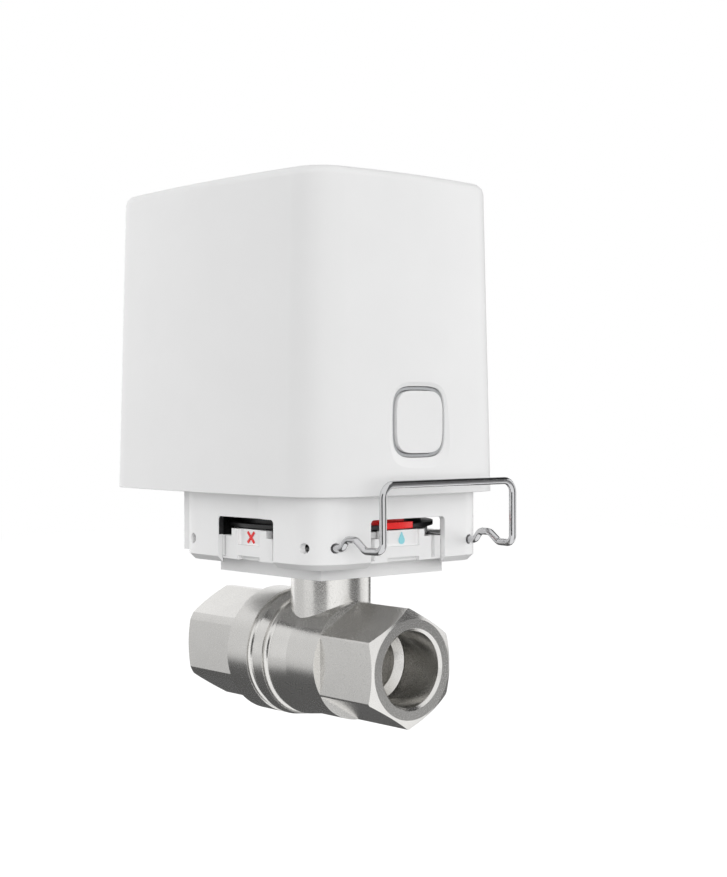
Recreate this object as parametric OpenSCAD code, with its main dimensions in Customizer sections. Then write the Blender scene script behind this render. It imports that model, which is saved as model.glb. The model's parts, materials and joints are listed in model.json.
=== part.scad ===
// Smart water valve: a battery-powered motor drive on a quarter-turn ball valve.
// Millimetres. The origin is where the pipe axis meets the stem axis, at the centre of the ball.
// +X runs along the pipe out of the near port, on the button's side, and +Z runs up the stem.
// At rest the valve is open and its pointer shows the drop; closed, it shows the cross.

/* [Valve body] */
// Near pipe hexagon, across its flats
near_hex_flats = 25.7; // [25.2:0.1:26.6]
// Far pipe hexagon, across its flats
far_hex_flats = 26.5; // [25.2:0.1:27]
// Barrel that the hexagons' flats are cut into
barrel_d = 29.4; // [29:0.1:30]
// Collar where the end connector screws into the body
collar_d = 32.6; // [32:0.2:36]
// Length of the end connector's collar
collar_length = 10.9; // [8:0.1:12.6]
// Chamfer at the far end of that collar
collar_chamfer = 1.4; // [0.6:0.1:1.6]
// From the stem axis to the near port's face
near_length = 30.5; // [29.5:0.5:40]
// From the stem axis to the far port's face
far_length = 44.6; // [43.6:0.5:55]
// From the stem axis to the joint between body and end connector
joint_offset = 12.8; // [12.2:0.1:13.6]
// Width of each ring groove round the barrel
ring_groove = 2.8; // [1:0.1:3]
// From the stem axis to the second ring groove
second_ring_offset = 7; // [5.6:0.1:7.6]
// From the stem axis to where the near hexagon's flats begin
near_flats_start = 11.1; // [10.5:0.1:14]
// Length of the sloping run-out at the inner end of a near flat
flat_runout = 0.3; // [0:0.1:2.5]
// Flat ring on the face of each port
end_face_d = 24.5; // [23:0.1:24.6]
// Plain bore of each port, at its thread's minor diameter
port_d = 18.6; // [17.6:0.1:19.4]
// Depth of each port
port_depth = 13; // [10:0.5:14]
// Chamfer at the mouth of each port
port_chamfer = 0.7; // [0.6:0.1:1.6]
// Waterway through the valve
bore_d = 15; // [12:0.2:15.2]
// Neck that carries the stem and the drive
neck_d = 20.4; // [19.6:0.2:24]
// Top of the neck above the pipe axis
neck_top = 21.9; // [21:0.1:25]

/* [Ball, seats and stem] */
// Ball
ball_d = 24; // [23.6:0.1:24.2]
// Outside of each seat ring
seat_d = 22; // [21:0.2:22.4]
// Height of each seat ring along the pipe
seat_height = 4; // [3.4:0.1:4.4]
// How far the back of each seat lies inside the ball's radius
seat_set_in = 0.8; // [0.4:0.1:1.2]
// Spigot of the end connector, which screws into the body
spigot_d = 26.4; // [26:0.1:26.8]
// Length of that spigot
spigot_length = 4; // [3.4:0.1:4.4]
// Stem
stem_d = 9; // [8.4:0.1:9.4]
// Flange that keeps the stem in the body
stem_flange_d = 12.2; // [11:0.1:12.6]
// Square at the top of the stem
stem_square = 6; // [5:0.1:6.2]
// Height of the stem's square above the neck
stem_rise = 11; // [9:0.1:12]
// Tang of the stem in the ball's slot
tang_width = 4.8; // [4:0.1:5.4]
// Cord of the seals
seal_cord = 1.2; // [1:0.05:1.3]

/* [Adapter] */
// Side of the square adapter plate
plate_side = 40; // [38:0.5:42]
// Thickness of the adapter plate
plate_thickness = 3.2; // [2.8:0.1:4]
// Circle of the screws that hold the plate on the neck
plate_screw_circle = 14.8; // [14:0.1:15.4]
// How far the outer face of a tab lies behind the collar's face
tab_inset = 1.3; // [0.9:0.1:1.6]
// Thickness of a tab's upper part
tab_lip = 1.8; // [1.4:0.1:2]
// Gap between a tab and each side of its window
tab_side_gap = 0.3; // [0.2:0.05:0.5]
// How far the middle of a tab's upper part lies to the right of the stem axis
tab_shift = 0.6; // [0:0.1:0.9]
// How far a tab's overhang lies above the plate
tab_lift = 0.8; // [0.4:0.1:1.2]
// Width of the upper part of a tab
tab_upper_width = 14; // [11:0.2:15]
// Shoulders of a tab above the plate
shoulder_height = 6.6; // [6.5:0.1:7.2]
// Upper part of a tab above its shoulders
tab_upper_height = 1.8; // [1.2:0.1:2.4]
// Width of the recess that holds the cross
label_width = 8.6; // [6:0.2:10]
// Width of the recess that holds the drop
front_label_width = 10.4; // [8:0.2:12]
// Depth of that recess
label_depth = 0.8; // [0.4:0.1:1]
// Size of the cross and height of the drop
mark_size = 3; // [2:0.1:3.4]

/* [Pointer and coupling] */
// Pointer drum
drum_d = 46; // [43:0.2:48]
// Thickness of the pointer drum
drum_thickness = 3.2; // [2.6:0.1:3.8]
// Height of the wider rim at the drum's lower edge
drum_rim = 1; // [0.6:0.1:1.4]
// Angle of the red band set into the drum
band_angle = 33; // [26:1:45]
// Angle of the raised part of the pointer
pointer_angle = 21; // [14:0.5:22]
// Height of that raised part
pointer_height = 1.6; // [1:0.1:2]
// Coupling round the stem's square
coupling_d = 16; // [14:0.2:17]
// Journal of the coupling in the floor's bush
journal_d = 13; // [12.4:0.2:13.6]
// Square that carries the output gear
gear_square = 8; // [7:0.1:8.4]

/* [Collar and floor] */
// Square collar of the drive, across its flat sides
skirt_side = 56; // [55.4:0.2:58]
// Wall of the collar
skirt_wall = 1.7; // [1.5:0.1:2.4]
// Corner radius of the collar
skirt_corner = 8; // [5:0.5:9]
// How far the collar's lower edge reaches below the top of the adapter plate
skirt_overlap = 0.1; // [0:0.1:1.2]
// Chamfer round the collar's lower edge
skirt_chamfer = 1.4; // [1:0.1:2.2]
// Depth of the shallow scoop on the collar's long sides
scoop_depth = 0.9; // [0.4:0.1:1.2]
// Thickness of the pad on the collar's rear
rear_pad = 1.1; // [0.4:0.1:1.6]
// Width of that pad
rear_pad_width = 50; // [40:1:52]
// Width of the window over the cross
window_width = 22.2; // [21.6:0.2:24]
// How far that window lies to the right of the stem axis
window_shift = 0.8; // [0:0.1:0.9]
// Width of the window over the drop, and of the one on the far side
front_window_width = 24.4; // [24:0.2:26]
// How far that window lies to the right of the stem axis
front_window_shift = 1.1; // [0:0.1:1.2]
// Top of each window above the adapter plate
window_height = 11.3; // [10.8:0.1:13]
// Rounding of the upper corners of a window
window_corner = 1; // [0.5:0.1:3]
// Thickness of the floor
floor_thickness = 2.5; // [2:0.1:3.5]

/* [Casing] */
// From the stem axis to the middle of the front face, at the lower edge
case_front = 33.8; // [32.6:0.2:38]
// From the stem axis to the middle of the rear face, at the lower edge
case_rear = 58.7; // [57.7:0.5:66.2]
// Width of the casing at its lower edge
case_width = 67.2; // [66:0.2:76]
// Lower edge of the casing above the adapter plate
case_lift = 17.3; // [16.8:0.1:20]
// Height of the casing
case_height = 77.1; // [72:0.1:90]
// Bow of each side
case_bow = 2.4; // [0:0.1:4]
// Corner radius in plan
case_corner = 10; // [8:0.5:12]
// How far each side leans in over the casing's height
case_taper = 1.86; // [0.5:0.01:2.5]
// Rounding of the top edge
case_top_round = 2.4; // [1:0.1:4]
// Wall of the casing
case_wall = 2.6; // [2.2:0.1:3]
// Thinner wall round the floor
rim_wall = 1.6; // [1.4:0.1:1.8]

/* [Button] */
// Height of the button above the casing's lower edge
button_height = 17.4; // [15:0.1:30]
// Button across its face
button_width = 15; // [13:0.1:16]
// Visible width of the light ring
ring_width = 0.7; // [0.6:0.1:1.4]
// Dished edge round the ring
dish_width = 1.8; // [1:0.1:3]
// Depth of the dished edge
dish_depth = 0.6; // [0.3:0.05:1]
// Travel of the button
button_travel = 0.8; // [0.4:0.1:0.9]

/* [Locking staple] */
// Wire
wire_d = 1.8; // [1.5:0.05:2]
// From the stem axis to each leg
leg_offset = 21.9; // [21.6:0.1:22.4]
// How far the holes for a staple put in from a long side lie to the front
cross_shift = 1; // [0:0.1:1]
// Height of the legs above the adapter plate
leg_height = 5.2; // [4:0.1:5.3]
// Height of the bump that keeps the staple from sliding out
bump_height = 2.3; // [2:0.1:3]
// From the collar's face to the upright handle
handle_reach = 15.5; // [15:0.1:22]
// Height of the handle above the legs
handle_height = 15.3; // [10:0.1:22]

/* [Gears and motor] */
// Gear module
gear_module = 0.8; // [0.7:0.05:0.82]
// Teeth of the output gear
output_teeth = 40; // [36:4:44]
// Teeth of the idler
idler_teeth = 20; // [20:4:24]
// Teeth of the motor pinion
pinion_teeth = 16; // [14:2:18]
// Face width of the gears
gear_width = 6; // [4:0.2:7]
// Play between meshing flanks
gear_backlash = 0.16; // [0.1:0.01:0.25]
// Axle of the idler
axle_d = 4; // [3:0.1:5]
// Gearbox and motor
motor_d = 22; // [18:0.5:24]
// Length of the sealed gearbox
gearbox_length = 18; // [12:0.5:24]
// Length of the motor
motor_length = 28; // [20:0.5:30]

/* [Batteries] */
// Battery cell
cell_d = 17; // [16:0.1:17.2]
// Length of a battery cell
cell_length = 34.5; // [30:0.5:40]
// Wall of the battery holder
holder_wall = 1.2; // [1:0.1:1.4]

/* [Control board] */
// Thickness of the board
board_thickness = 1.6; // [1:0.1:2]
// Width of the board
board_width = 34; // [30:1:34]
// Height of the board
board_height = 64; // [50:1:66]

/* [Screws and clearances] */
// Screw thread
screw_d = 2.9; // [2.6:0.1:3]
// Head of a countersunk screw
screw_head_d = 5.4; // [4.8:0.1:5.6]
// Radial clearance of a running fit
running_clearance = 0.05; // [0.02:0.01:0.08]
// Gap between parts that are put together by hand
assembly_gap = 0.15; // [0.08:0.01:0.25]
// Gap between parts that move past each other
moving_gap = 0.3; // [0.2:0.05:0.4]

/* [Hidden] */
$fn = 64;

// Colours
nickel = [0.78, 0.78, 0.76];
brass = [0.80, 0.66, 0.36];
steel = [0.70, 0.71, 0.73];
casing_white = [0.93, 0.93, 0.93];
part_white = [0.86, 0.86, 0.87];
ptfe_white = [0.95, 0.95, 0.92];
rubber_black = [0.08, 0.08, 0.08];
drum_black = [0.10, 0.10, 0.11];
signal_red = [0.86, 0.10, 0.12];
drop_blue = [0.35, 0.75, 0.88];
gear_grey = [0.80, 0.78, 0.72];
board_green = [0.10, 0.36, 0.22];
cell_grey = [0.35, 0.38, 0.42];

// Small steps that keep cuts clear of the faces they pass through, and the thinnest slice
cut = 1;
thin = 0.01;

// Valve body
barrel_r = barrel_d / 2;
collar_r = collar_d / 2;
ring_r = ring_groove / 2;
groove_step = 22.5;
end_chamfer_angle = 30;
end_chamfer = (barrel_r - end_face_d / 2) * tan(end_chamfer_angle);
port_r = port_d / 2;
bore_r = bore_d / 2;
port_cone = port_r - bore_r;
ball_r = ball_d / 2;
ball_room = 0.4;
cavity_r = ball_r + ball_room;
seat_r = seat_d / 2;
seat_bore_r = bore_r + moving_gap;
seat_back = ball_r - seat_set_in;
seat_front = seat_back - seat_height;
seat_pocket_r = seat_r + assembly_gap;
seat_pocket_floor = seat_back + assembly_gap;
spigot_r = spigot_d / 2;
spigot_bore_r = spigot_r + assembly_gap;
spigot_end = joint_offset - spigot_length;

// Stem, worked upwards from the ball
slot_cover = 1.5;
slot_floor = bore_r + slot_cover;
tang_foot = slot_floor + assembly_gap;
flange_foot = ball_r + assembly_gap;
flange_height = 1.6;
flange_recess_r = stem_flange_d / 2 + assembly_gap;
flange_recess_top = flange_foot + flange_height + assembly_gap;
stem_r = stem_d / 2;
stem_bore_r = stem_r + running_clearance;
stem_proud = 0.5;
square_foot = neck_top + stem_proud;
stem_top = neck_top + stem_rise;
seal_squeeze = 0.1;
stem_seal_r = seal_cord / 2 - seal_squeeze;
seal_groove = seal_cord + seal_squeeze;
seal_depth = 2.6;
seal_pitch = 3;
seal_heights = [neck_top - seal_depth - seal_pitch, neck_top - seal_depth];
body_seal_x = spigot_end + spigot_length / 2;

// Collar, whose faces place the tabs and the staple
skirt_half = skirt_side / 2;
skirt_inner = skirt_half - skirt_wall;
scoop_start = -14;
scoop_floor = 4.7;
scoop_end = 9;
scoop_steps = 6;
rear_pad_lift = 1.9;

// Adapter
plate_top = neck_top + plate_thickness;
plate_bore_room = 0.7;
plate_bore_r = stem_r + plate_bore_room;
shoulder_top = plate_top + shoulder_height;
tab_top = shoulder_top + tab_upper_height;
tab_reach = skirt_half - tab_inset;
tab_hold = 3;
tab_root = plate_side / 2 - tab_hold;
label_height = 3.9;
label_foot = tab_top - label_height;
tab_notch = [1.2, 1];
tab_groove = [1.5, 1.1];
tab_groove_offset = 9.4;
tab_groove_foot = 0.6;
rim_width = 2;
rim_r = tab_reach - tab_lip - moving_gap;
label_face = tab_reach - label_depth;
mark_thickness = 0.2;
mark_z = label_foot + label_height / 2;
mark_bar = mark_size / 5;
drop_share = 0.32;
drop_r = mark_size * drop_share;
drop_shoulder = 20;
leg_z = plate_top + leg_height;
staple_hole_r = wire_d / 2 + moving_gap;
plate_screw_length = 10;
skirt_bottom = plate_top - skirt_overlap;
window_top = plate_top + window_height;

// Screws
screw_r = screw_d / 2;
thread_r = screw_r + running_clearance;
head_r = screw_head_d / 2;
head_height = head_r - screw_r;
screw_hole_r = screw_r + assembly_gap;
screw_seat_r = head_r + 2 * assembly_gap;

// Pointer and coupling
pointer_reach = skirt_inner - moving_gap;
drum_r = drum_d / 2;
drum_bottom = tab_top + moving_gap;
drum_top = drum_bottom + drum_thickness;
coupling_r = coupling_d / 2;
coupling_lift = 0.7;
coupling_bottom = plate_top + coupling_lift;
coupling_flange_width = 2;
coupling_flange = 1.4;
band_end = 11.5;
band_lift = 0.6;
band_bottom = drum_bottom + band_lift;
band_depth = 5;
band_inner_r = drum_r - band_depth;
band_side_gap = 0.5;
journal_r = journal_d / 2;
hub_height = 1;
journal_foot = drum_top + hub_height;

// Floor, bush and gears, worked upwards
case_bottom = plate_top + case_lift;
floor_set_in = 0.2;
floor_bottom = case_bottom + floor_set_in;
floor_top = floor_bottom + floor_thickness;
bush_wall = 2;
bush_r = journal_r + bush_wall;
bush_bore_r = journal_r + running_clearance;
bush_hole_r = bush_r + assembly_gap;
bush_flange_width = 3;
bush_flange_r = bush_r + bush_flange_width;
bush_flange = 1.3;
boss_depth = 2.7;
bush_bottom = floor_bottom - boss_depth;
boss_wall = 3.5;
boss_r = bush_r + boss_wall;
journal_proud = 1;
journal_top = floor_top + bush_flange + journal_proud;
gear_bottom = journal_top + assembly_gap;
gear_top = gear_bottom + gear_width;
gear_square_proud = 0.5;
pressure_angle = 25;
addendum = 0.95;
dedendum = 1.25;
flank_steps = 3;
output_pitch_r = output_teeth * gear_module / 2;
idler_pitch_r = idler_teeth * gear_module / 2;
pinion_pitch_r = pinion_teeth * gear_module / 2;
idler_x = -(output_pitch_r + idler_pitch_r);
pinion_x = idler_x - idler_pitch_r - pinion_pitch_r;
cam_set_in = 1.5;
cam_r = output_pitch_r - cam_set_in;
cam_height = 0.9;
axle_r = axle_d / 2;
switch_size = [12.8, 5.8, 6.5];
switch_room = 0.5;
switch_offset = output_pitch_r + gear_module + switch_room;
lever_size = [4, 0.6];

// Chassis above the gears
chassis_lift = 1.4;
chassis_bottom = gear_top + chassis_lift;
chassis_thickness = 2.2;
chassis_top = chassis_bottom + chassis_thickness;
cell_spacing = 0.6;
holder_pitch = cell_d + cell_spacing;
pocket_r = cell_d / 2 + assembly_gap;
holder_half = holder_pitch / 2 + pocket_r + holder_wall;
motor_r = motor_d / 2;
chassis_edge = 1.6;
chassis_front = holder_half;
chassis_rear = pinion_x - motor_r - chassis_edge;
chassis_half_width = 19.5;
post_r = 3.4;
post_edge = 0.6;
post_y = chassis_half_width - post_r - post_edge;
post_set_in = 1.5;
post_front_x = output_pitch_r - post_set_in;
post_rear_x = chassis_rear + post_r + post_edge;
post_places = [for (x = [post_front_x, post_rear_x]) for (side = [1, -1]) [x, side * post_y]];
post_screw_length = 8;
shaft_r = 2;
shaft_depth = 6;
motor_step = 0.6;
motor_nose = 1.5;

// Batteries
contact_thickness = 0.5;
holder_floor = 1.7;
cell_bottom = chassis_top + holder_floor + contact_thickness;
cell_nub = 0.4;
holder_top = cell_bottom + cell_length + cell_nub + contact_thickness;
cap_thickness = 2;
cap_screw_length = 7;
contact_rim = 3;
contact_r = cell_d / 2 - contact_rim;
cell_places = [[1, 1], [-1, 1], [-1, -1], [1, -1]] * (holder_pitch / 2);

// Button, worked backwards from the casing's front face to the control board
button_z = case_bottom + button_height;
case_half_width = case_width / 2;
face_x = case_front - case_taper * button_height / case_height;
button_set_in = 0.2;
button_face = face_x - button_set_in;
button_gap = 0.2;
ring_inner = button_width + 2 * button_gap;
ring_outer = ring_inner + 2 * ring_width;
opening_width = ring_outer + 2 * assembly_gap;
ring_flange = 1.2;
ring_flange_width = ring_outer + 2 * ring_flange;
ring_flange_gap = 0.5;
ring_flange_front = face_x - case_wall - ring_flange_gap;
ring_flange_back = ring_flange_front - ring_flange;
ring_set_in = 0.5;
ring_front = face_x - dish_depth - ring_set_in;
button_flange = 1.2;
button_flange_lip = 0.8;
button_flange_width = ring_inner + 2 * button_flange_lip;
button_flange_front = ring_flange_back - button_gap;
button_flange_back = button_flange_front - button_flange;
button_nub_r = 1.6;
switch_gap = 0.5;
switch_front = button_flange_back - button_travel - switch_gap;
switch_width = 6;
switch_height = 3.8;
plunger_r = 1.5;
plunger_gap = 0.35;
plunger_front = button_flange_back - plunger_gap;
plunger_length = 2.2;
plunger_bore_r = plunger_r + running_clearance;
plunger_end = plunger_front - plunger_length - button_travel - moving_gap;
board_front = switch_front - switch_height;
board_back = board_front - board_thickness;
rail_wall = 2.2;
rail_height = 4;
rail_floor = 0.9;
rail_set_in = 4;
board_bottom = floor_top + rail_floor + running_clearance;
led_size = [0.8, 2, 1.2];
led_y = (ring_outer + ring_inner) / 4;
radio_size = [2.2, 16, 12];
radio_drop = 18;
radio_z = board_bottom + board_height - radio_drop;

// Casing, bowed between its corners
case_top = case_bottom + case_height;
case_mid = (case_front - case_rear) / 2;
case_half_length = (case_front + case_rear) / 2;
corner_steps = 14;
side_steps = 12;
inner_corner = 2;
gasket_height = 0.95;
gasket_width = 1.4;
gasket_inset = rim_wall + assembly_gap;
rim_top = floor_top + gasket_height + assembly_gap;
case_boss_shift = 3.5;
case_boss_r = 3.4;
case_boss_x = case_half_length - case_bow - case_corner + case_boss_shift;
case_boss_y = case_half_width - case_bow - case_corner + case_boss_shift;
case_boss_room = 1.2;
front_boss = skirt_inner - case_boss_r - case_boss_room;
case_boss_places = [for (side = [-1, 1]) each [[case_mid - case_boss_x, side * case_boss_y],
    [front_boss, side * front_boss]]];
case_boss_height = chassis_bottom - moving_gap - rim_top;
case_boss_rib = 2.4;
case_screw_length = 10;

// Locking staple
leg_set_in = 0.5;
leg_tip = skirt_half - leg_set_in;
bump_gap = 2;
bump_start = skirt_half + bump_gap;
bump_slope = [1.8, 3.2];
handle_x = skirt_half + handle_reach;
handle_foot = 5.3;
handle_draw_in = 0.7;
handle_y = leg_offset - handle_draw_in;
bump_end = handle_x - handle_foot;
bump_top = [bump_start + bump_slope[0], bump_end - bump_slope[1]];
bump_bend = 2;
handle_foot_bend = 2;
handle_bend = 3;
loop_start = skirt_inner - wire_d;
loop_share = 0.98;
loop_r = wire_d / 2 * loop_share;
wire_sides = 16;
bend_steps = 6;

// Points of a rounded rectangle, with steps along its straight sides
function rounded_points(hx, hy, r) = let (corners = [[1, 1], [-1, 1], [-1, -1], [1, -1]])
    [for (i = [0:3]) let (
        centre = [corners[i].x * (hx - r), corners[i].y * (hy - r)],
        next = corners[(i + 1) % 4],
        last = centre + r * [cos(90 * i + 90), sin(90 * i + 90)],
        first = [next.x * (hx - r), next.y * (hy - r)] + r * [cos(90 * i + 90), sin(90 * i + 90)])
        each concat(
            [for (k = [0:corner_steps]) let (a = 90 * (i + k / corner_steps)) centre + r * [cos(a), sin(a)]],
            [for (k = [1:side_steps - 1]) last + (first - last) * k / side_steps])];

// The casing's plan, drawn in by an inset: each side bows out between its corners
function case_outline(inset) = let (
    hx = case_half_length - case_bow - inset,
    hy = case_half_width - case_bow - inset,
    r = max(case_corner - inset, inner_corner))
    [for (p = rounded_points(hx, hy, r)) [
        p.x + case_bow * p.x / hx * (1 - pow(p.y / hy, 2)),
        p.y + case_bow * p.y / hy * (1 - pow(p.x / hx, 2))]];

// How far the casing leans in at a height
function lean(z) = case_taper * (z - case_bottom) / case_height;

// Outline of a button with soft, square corners
function squircle(width, power = 4, steps = 48) = [for (i = [0:steps - 1]) let (a = 360 * i / steps)
    width / 2 * [sign(cos(a)) * pow(abs(cos(a)), 2 / power), sign(sin(a)) * pow(abs(sin(a)), 2 / power)]];

// Involute gear outline with a tooth centred on +X
function involute_angle(r, base) = let (a = acos(min(1, base / r))) tan(a) * 180 / PI - a;
function gear_points(teeth) = let (
    pitch = teeth * gear_module / 2,
    base = pitch * cos(pressure_angle),
    root = pitch - dedendum * gear_module,
    tip = pitch + addendum * gear_module,
    half = 90 / teeth - gear_backlash / 4 / pitch * 180 / PI + involute_angle(pitch, base),
    start = max(root, base),
    radii = concat([root], [for (k = [0:flank_steps]) start + (tip - start) * k / flank_steps]),
    flank = [for (r = radii) [r, half - involute_angle(max(r, base), base)]])
    [for (i = [0:teeth - 1]) let (c = 360 * i / teeth) each concat(
        [for (f = flank) f[0] * [cos(c - f[1]), sin(c - f[1])]],
        [for (k = [len(flank) - 1:-1:0]) flank[k][0] * [cos(c + flank[k][1]), sin(c + flank[k][1])]])];

// Path through corner points with a bend of its own radius at each inner corner
function unit(v) = v / norm(v);
function bend_points(before, corner, after, r) = let (
    u = unit(before - corner),
    w = unit(after - corner),
    half = acos(u * w) / 2,
    centre = corner + unit(u + w) * r / sin(half),
    from = (corner + u * r / tan(half) - centre) / r,
    to = (corner + w * r / tan(half) - centre) / r,
    turn = 180 - 2 * half)
    [for (k = [0:bend_steps]) let (s = k / bend_steps)
        centre + r * (sin((1 - s) * turn) * from + sin(s * turn) * to) / sin(turn)];
function bent_path(points, radii) = concat([points[0]],
    [for (i = [1:len(points) - 2]) each bend_points(points[i - 1], points[i], points[i + 1], radii[i - 1])],
    [points[len(points) - 1]]);
function carry(n, t) = unit(n - t * (n * t));

// Round wire along a path, with its sides carried along without twist
module wire(path, r) {
    count = len(path);
    tangents = [for (i = [0:count - 1]) unit(path[min(i + 1, count - 1)] - path[max(i - 1, 0)])];
    normals = [for (i = 0, n = carry([0, 0, 1], tangents[0]); i < count;
        i = i + 1, n = carry(n, tangents[min(i, count - 1)])) n];
    rings = [for (i = [0:count - 1]) for (k = [0:wire_sides - 1]) let (a = 360 * k / wire_sides)
        path[i] + r * (cos(a) * normals[i] + sin(a) * cross(tangents[i], normals[i]))];
    sides = [for (i = [0:count - 2]) for (k = [0:wire_sides - 1]) let (
        a = i * wire_sides + k,
        b = i * wire_sides + (k + 1) % wire_sides)
        each [[b, a, a + wire_sides], [b, a + wire_sides, b + wire_sides]]];
    near_cap = [[for (k = [0:wire_sides - 1]) k]];
    far_cap = [[for (k = [wire_sides - 1:-1:0]) (count - 1) * wire_sides + k]];
    polyhedron(points = rings, faces = concat(near_cap, sides, far_cap));
}

// Turns +Z into +X
module along_x() rotate([0, 90, 0]) children();

// Turns +Z into -Y
module along_minus_y() rotate([90, 0, 0]) children();

// Solid of revolution about the pipe axis from points of [radius, x]
module revolve_x(points) along_x() rotate_extrude() polygon(points);

// A cylinder along the pipe from one x to another
module bar_x(from, to, r) translate([from, 0, 0]) along_x() cylinder(r = r, h = to - from);

// An extrusion towards +X of an outline in the YZ plane, from one x to another
module slab_x(from, to) translate([from, 0, 0]) rotate([90, 0, 90]) linear_extrude(to - from) children();

// Ring of round section about Z, with its middle at a radius
module ring(radius, section_r) rotate_extrude() translate([radius, 0]) circle(r = section_r);

module rounded_square(half, r) {
    square([2 * half, 2 * (half - r)], center = true);
    square([2 * (half - r), 2 * half], center = true);
    for (sx = [-1, 1]) for (sy = [-1, 1]) translate([sx * (half - r), sy * (half - r)]) circle(r = r);
}

// Countersunk screw with the middle of its flat head at the origin and its point down
module screw(length) {
    translate([0, 0, -head_height]) cylinder(r1 = screw_r, r2 = head_r, h = head_height);
    translate([0, 0, -length]) cylinder(r = screw_r, h = length);
}

// Hole for that screw
module screw_seat(depth) {
    cone = screw_seat_r - screw_hole_r;
    translate([0, 0, -cone]) cylinder(r1 = screw_hole_r, r2 = screw_seat_r, h = cone);
    translate([0, 0, -depth]) cylinder(r = screw_hole_r, h = depth);
    cylinder(r = screw_seat_r, h = cut);
}

// Flats of a hexagon cut from a barrel that runs from x = start to x = end, with corners up and down
module hexagon_flats(across, start, end, runout) {
    flat = across / 2;
    over = barrel_r + cut;
    slope = runout * (over - flat) / (barrel_r - flat);
    for (i = [0:5]) rotate([60 * i, 0, 0]) linear_extrude(2 * barrel_r, center = true)
        polygon([[start, flat], [end + cut, flat], [end + cut, over], [start - slope, over]]);
}

// Port of a valve end whose face is at x = face, opening towards +X
module port(face, deep_end) {
    bottom = face - port_depth;
    revolve_x([[0, deep_end], [bore_r, deep_end], [bore_r, bottom - port_cone], [port_r, bottom],
        [port_r, face - port_chamfer], [port_r + port_chamfer + cut, face + cut], [0, face + cut]]);
}

// Pocket that holds a seat, opening towards the ball
module seat_pocket() bar_x(0, seat_pocket_floor, seat_pocket_r);

module plate_screw_places() for (a = [45:90:315])
    rotate([0, 0, a]) translate([plate_screw_circle / 2, 0, 0]) children();

// Half of the ring groove at the joint, as points of [radius, x] on the side towards +X
function joint_groove(x) = [for (a = [0:groove_step:90]) [collar_r - ring_r * cos(a), x + ring_r * sin(a)]];

module valve_body() color(nickel) difference() {
    union() {
        difference() {
            revolve_x(concat([[0, -joint_offset]], joint_groove(-joint_offset),
                [[barrel_r, 0], [barrel_r, near_length - end_chamfer],
                [end_face_d / 2, near_length], [0, near_length]]));
            hexagon_flats(near_hex_flats, near_flats_start, near_length, flat_runout);
            second_ring_r = barrel_r + (collar_r - barrel_r) * second_ring_offset / (joint_offset - ring_r);
            along_x() translate([0, 0, -second_ring_offset]) ring(second_ring_r, ring_r);
        }
        cylinder(r = neck_d / 2, h = neck_top);
    }
    bar_x(-joint_offset - cut, -spigot_end + assembly_gap, spigot_bore_r);
    bar_x(-joint_offset, seat_front + assembly_gap, cavity_r);
    seat_pocket();
    port(near_length, 0);
    cylinder(r = flange_recess_r, h = flange_recess_top);
    cylinder(r = stem_bore_r, h = neck_top + cut);
    plate_screw_places() translate([0, 0, plate_top - plate_screw_length - assembly_gap])
        cylinder(r = thread_r, h = plate_screw_length);
}

module end_connector() color(nickel) mirror([1, 0, 0]) difference() {
    collar_end = joint_offset + collar_length;
    barrel_start = joint_offset + ring_r;
    union() {
        revolve_x(concat([[0, spigot_end], [spigot_r, spigot_end], [spigot_r, body_seal_x - seal_groove / 2],
            [spigot_r - seal_groove, body_seal_x - seal_groove / 2],
            [spigot_r - seal_groove, body_seal_x + seal_groove / 2],
            [spigot_r, body_seal_x + seal_groove / 2], [spigot_r, joint_offset]], joint_groove(joint_offset),
            [[collar_r, collar_end - collar_chamfer], [collar_r - collar_chamfer, collar_end],
        [0, collar_end]]));
        difference() {
            revolve_x([[0, barrel_start], [barrel_r, barrel_start], [barrel_r, far_length - end_chamfer],
                [end_face_d / 2, far_length], [0, far_length]]);
            hexagon_flats(far_hex_flats, barrel_start - cut, far_length, 0);
        }
    }
    port(far_length, 0);
    seat_pocket();
}

module body_seal() color(rubber_black) along_x() translate([0, 0, -body_seal_x])
    ring(spigot_bore_r - running_clearance - seal_cord / 2, seal_cord / 2);

module seat_ring() difference() {
    bar_x(seat_front, seat_back, seat_r);
    bar_x(0, seat_back + cut, seat_bore_r);
    sphere(r = ball_r + running_clearance);
}

module near_seat() color(ptfe_white) seat_ring();

module far_seat() color(ptfe_white) mirror([1, 0, 0]) seat_ring();

module ball() color(nickel) difference() {
    sphere(r = ball_r);
    bar_x(-ball_r, ball_r, bore_r);
    slot = tang_width + 2 * running_clearance;
    translate([-slot / 2, -ball_r, slot_floor]) cube([slot, ball_d, ball_r]);
}

module stem() color(brass) difference() {
    union() {
        translate([0, 0, flange_foot]) cylinder(r = stem_flange_d / 2, h = flange_height);
        translate([0, 0, flange_foot]) cylinder(r = stem_r, h = square_foot - flange_foot);
        translate([-stem_square / 2, -stem_square / 2, flange_foot])
            cube([stem_square, stem_square, stem_top - flange_foot]);
        intersection() {
            translate([-tang_width / 2, -stem_r, tang_foot])
                cube([tang_width, stem_d, flange_foot - tang_foot + thin]);
            cylinder(r = stem_r, h = stem_top);
        }
    }
    for (z = seal_heights) translate([0, 0, z - seal_groove / 2]) difference() {
        cylinder(r = stem_r + cut, h = seal_groove);
        cylinder(r = stem_r - seal_groove, h = seal_groove);
    }
}

module stem_o_rings() color(rubber_black) for (z = seal_heights)
    translate([0, 0, z]) ring(stem_r - stem_seal_r - running_clearance / 2, stem_seal_r);

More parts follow.
